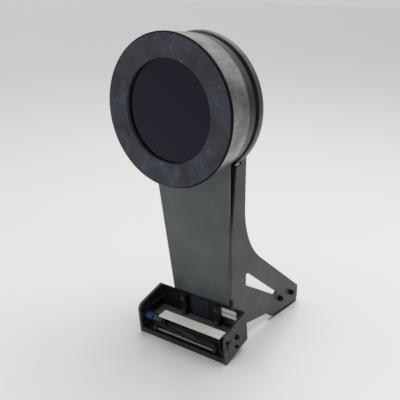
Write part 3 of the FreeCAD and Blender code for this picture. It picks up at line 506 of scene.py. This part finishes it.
# ---- the head ---------------------------------------------------------------------------
def build_head():
    """Turned parts of the head; corners are (y, radius, fillet) in millimetres."""
    front, rear = ends_along_y("focus_drum")
    drum_low, drum_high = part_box("focus_drum")
    outer = (drum_high.x - drum_low.x) / 2 / MM
    head_ring("focus_drum", [
        (front, outer - 1.5, 0.15), (front, outer - 0.9, 0.3), (front + 0.9, outer, 0.5),
        (front + 2.4, outer, 0.6), (front + 3.0, outer - 0.25, 0.2), (rear - 1.6, DRUM_RIM_R, 0.2),
        (rear - 1.3, DRUM_RIM_R - 0.15, 0.15), (rear, DRUM_RIM_R - 0.4, 0.35), (rear, DRUM_BORE_R, 0.2),
        (front + 2.7, DRUM_BORE_R, 0.0), (front + 2.7, outer - 1.5, 0.0),
    ])
    face, back = ends_along_y("front_bezel")
    bezel_low, bezel_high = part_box("front_bezel")
    rim = (bezel_high.x - bezel_low.x) / 2 / MM
    head_ring("front_bezel", [
        (back, APERTURE_R, 0.2), (face + 0.9, APERTURE_R, 0.6), (face, APERTURE_R + 0.9, 0.6),
        (face, rim, 0.5), (face + 3.0, rim, 0.0), (face + 3.0, GLASS_R, 0.0), (back, GLASS_R, 0.2),
    ])
    ring_between("glass_gasket", APERTURE_R, GLASS_R, 0.15)
    ring_between("light_seal_ring", SEAL_INNER_R, SEAL_OUTER_R, 0.5)
    front, back = ends_along_y("rear_flange")
    flange_ring = head_ring("rear_flange", [
        (front, FLANGE_BORE_R, 0.2), (front, FLANGE_R - 1.4, 0.6), (front + 1.3, FLANGE_R, 0.8),
        (back - 1.3, FLANGE_R, 0.8), (back, FLANGE_R - 1.4, 0.6), (back, FLANGE_BORE_R, 0.2),
    ])
    flange_ring.data.materials[0] = turned_metal("satin_flange", rgb(132, 132, 132), rgb(88, 88, 89), 0.34)
    refined("mid_barrel", PART_ROUNDING, 3)
    front, back = ends_along_y("front_glass")
    head_ring("front_glass", [
        (front, 0.0, 0.0), (front, GLASS_R - 0.8, 0.2), (front + 0.6, GLASS_R, 0.3),
        (back, GLASS_R, 0.3), (back, 0.0, 0.0),
    ])


# ---- column, tray and hardware -------------------------------------------------------------
def build_sheet_metal():
    """Plates, tray, blocks and screws: the CAD shapes with rounded outer edges."""
    for node in ("side_plate_right", "side_plate_left", "front_panel"):
        refined(node, PLATE_ROUNDING, 3)
    for node in ("tray_end_right", "tray_end_left", "tray_channel", "platen_bar", "tray_shelf",
                 "mount_post_left", "mount_post_right", "panel_bracket_left", "panel_bracket_right"):
        refined(node, TRAY_ROUNDING, 2)
    for node in ("head_block_left", "head_block_right", "rear_foot_left", "rear_foot_right", "rear_cover",
                 "platen_arms", "roller_brackets", "platen_bushes", "cross_web", "tie_bars",
                 "foot_nuts", "power_inlet", "lamp_socket"):
        refined(node, PART_ROUNDING, 2)
    for node in ("tray_end_screws", "mount_post_screws", "panel_screws", "flange_screws", "cover_screws",
                 "head_block_screws", "foot_screws", "socket_screws"):
        refined(node, SCREW_ROUNDING, 2)
    rivets = refined("platen_rivets", RIVET_ROUNDING, 2)
    rivets.data.materials[0] = PAINT["platen_white"]


def centre_and_ends(node):
    """Middle of a node on the platen's axis, and its ends along X."""
    low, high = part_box(node)
    return (low + high) / 2, low.x, high.x


def build_platen():
    """Knurled thumb knob and the coiled return spring on the platen's shaft."""
    centre, left, right = centre_and_ends("thumb_knob")
    start = Vector((left, centre.y, centre.z))
    length = right - left
    outline = filleted([
        (0.0, 2.5 * MM, 0.0), (0.0, 4.6 * MM, 0.5 * MM), (length * 0.72, 4.6 * MM, 0.3 * MM),
        (length * 0.76, 3.6 * MM, 0.2 * MM), (length * 0.84, 3.6 * MM, 0.2 * MM),
        (length * 0.88, 4.4 * MM, 0.4 * MM), (length, 4.4 * MM, 0.5 * MM), (length, 2.5 * MM, 0.0)])

    def knurl(distance, radius, angle):
        if radius < 4.2 * MM or not 0.05 < distance / length < 0.7:
            return 0.0
        return -0.22 * MM * (0.5 + 0.5 * math.cos(18 * angle))

    def build(work):
        revolve(work, outline, start, (1, 0, 0), (0, 1, 0), 144, knurl)
    stand_in("thumb_knob", build)

    centre, left, right = centre_and_ends("platen_spring")

    def coil(work):
        turns, around, wire = 8.5, 10, 0.55 * MM
        steps = int(turns * 28)
        mean = 3.35 * MM
        rows = []
        for step in range(steps + 1):
            share = step / steps
            angle = 2 * math.pi * turns * share
            outward = Vector((0.0, math.cos(angle), math.sin(angle)))
            x = left + wire + (right - left - 2 * wire) * share
            middle_point = Vector((x, centre.y, centre.z)) + outward * mean
            row = []
            for index in range(around):
                turn = 2 * math.pi * index / around
                offset = outward * math.cos(turn) + Vector((1, 0, 0)) * math.sin(turn)
                row.append(work.verts.new(middle_point + offset * wire))
            rows.append(row)
        for before, after in zip(rows, rows[1:]):
            for index in range(around):
                onward = (index + 1) % around
                work.faces.new([before[index], before[onward], after[onward], after[index]])
        work.faces.new(rows[0])
        work.faces.new(rows[-1])
    stand_in("platen_spring", coil, 60.0)


# ---- stage, light and camera ---------------------------------------------------------------
def flat_sheet(name, corners):
    """One flat face with the given corners."""
    mesh = bpy.data.meshes.new(name)
    mesh.from_pydata(corners, [], [tuple(range(len(corners)))])
    sheet = bpy.data.objects.new(name, mesh)
    bpy.context.scene.collection.objects.link(sheet)
    return sheet


def build_stage():
    """Plain pale table."""
    reach = 6.0
    corners = [(-reach, -reach, 0), (reach, -reach, 0), (reach, reach, 0), (-reach, reach, 0)]
    table = flat_sheet("table", corners)
    shader = Shader("white_table")
    cloud = shader.noise(3.0, 3.0)
    colour = shader.blend(cloud, (0.78, 0.785, 0.78, 1.0), (0.815, 0.82, 0.815, 1.0))
    table.data.materials.append(shader.set(Base_Color=colour, Roughness=0.22, Specular_IOR_Level=0.35))


def area_light(name, place, aim, size, power):
    """Rectangular softbox at a place, turned toward aim."""
    data = bpy.data.lights.new(name, "AREA")
    data.shape = "RECTANGLE"
    data.size, data.size_y = size
    data.energy = power
    lamp = bpy.data.objects.new(name, data)
    bpy.context.scene.collection.objects.link(lamp)
    lamp.location = place
    lamp.rotation_euler = (Vector(aim) - Vector(place)).to_track_quat("-Z", "Y").to_euler()
    return lamp


def build_light():
    """Plain pale backdrop, lit by a room that is dimmer to the right and by two softboxes."""
    world = bpy.data.worlds.new("soft_room")
    bpy.context.scene.world = world
    world.use_nodes = True
    tree = world.node_tree
    coords = tree.nodes.new("ShaderNodeTexCoord")
    axes = tree.nodes.new("ShaderNodeSeparateXYZ")
    ramp = tree.nodes.new("ShaderNodeMapRange")
    mix = tree.nodes.new("ShaderNodeMix")
    mix.data_type = "RGBA"
    tree.links.new(coords.outputs["Generated"], axes.inputs[0])
    dimmer_right = tree.nodes.new("ShaderNodeMath")
    dimmer_right.operation = "MULTIPLY_ADD"
    dimmer_right.inputs[1].default_value = ROOM_FALL_TO_RIGHT
    tree.links.new(axes.outputs["X"], dimmer_right.inputs[0])
    tree.links.new(axes.outputs["Z"], dimmer_right.inputs[2])
    tree.links.new(dimmer_right.outputs[0], ramp.inputs["Value"])
    ramp.inputs["From Min"].default_value = -0.3
    ramp.inputs["From Max"].default_value = 0.4
    tree.links.new(ramp.outputs["Result"], mix.inputs[0])
    mix.inputs[6].default_value = ROOM_DARK
    mix.inputs[7].default_value = ROOM_BRIGHT
    seen = tree.nodes.new("ShaderNodeLightPath")
    backdrop = tree.nodes.new("ShaderNodeMix")
    backdrop.data_type = "RGBA"
    tree.links.new(seen.outputs["Is Camera Ray"], backdrop.inputs[0])
    tree.links.new(mix.outputs[2], backdrop.inputs[6])
    backdrop.inputs[7].default_value = BACKDROP
    tree.links.new(backdrop.outputs[2], tree.nodes["Background"].inputs["Color"])
    tree.nodes["Background"].inputs["Strength"].default_value = ROOM_STRENGTH
    target = (0.0, 0.0, 0.2)
    area_light("overhead_softbox", (0.1, 0.3, 1.6), target, (1.5, 1.1), OVERHEAD_POWER)
    area_light("right_softbox", (1.5, -0.2, 0.9), target, (0.7, 1.1), RIGHT_POWER)


def build_camera():
    """Camera at the view of the reference picture."""
    data = bpy.data.cameras.new("photo_view")
    data.sensor_width = 36.0
    data.lens = CAMERA_LENS
    data.clip_start = 0.01
    camera = bpy.data.objects.new("photo_view", data)
    bpy.context.scene.collection.objects.link(camera)
    camera.location = CAMERA_PLACE
    camera.rotation_euler = (math.radians(90.0) - CAMERA_DOWN, 0.0, CAMERA_TURN)
    bpy.context.scene.camera = camera
    bpy.context.scene.view_settings.view_transform = "Standard"


build_head()
build_sheet_metal()
build_platen()
build_stage()
build_light()
build_camera()
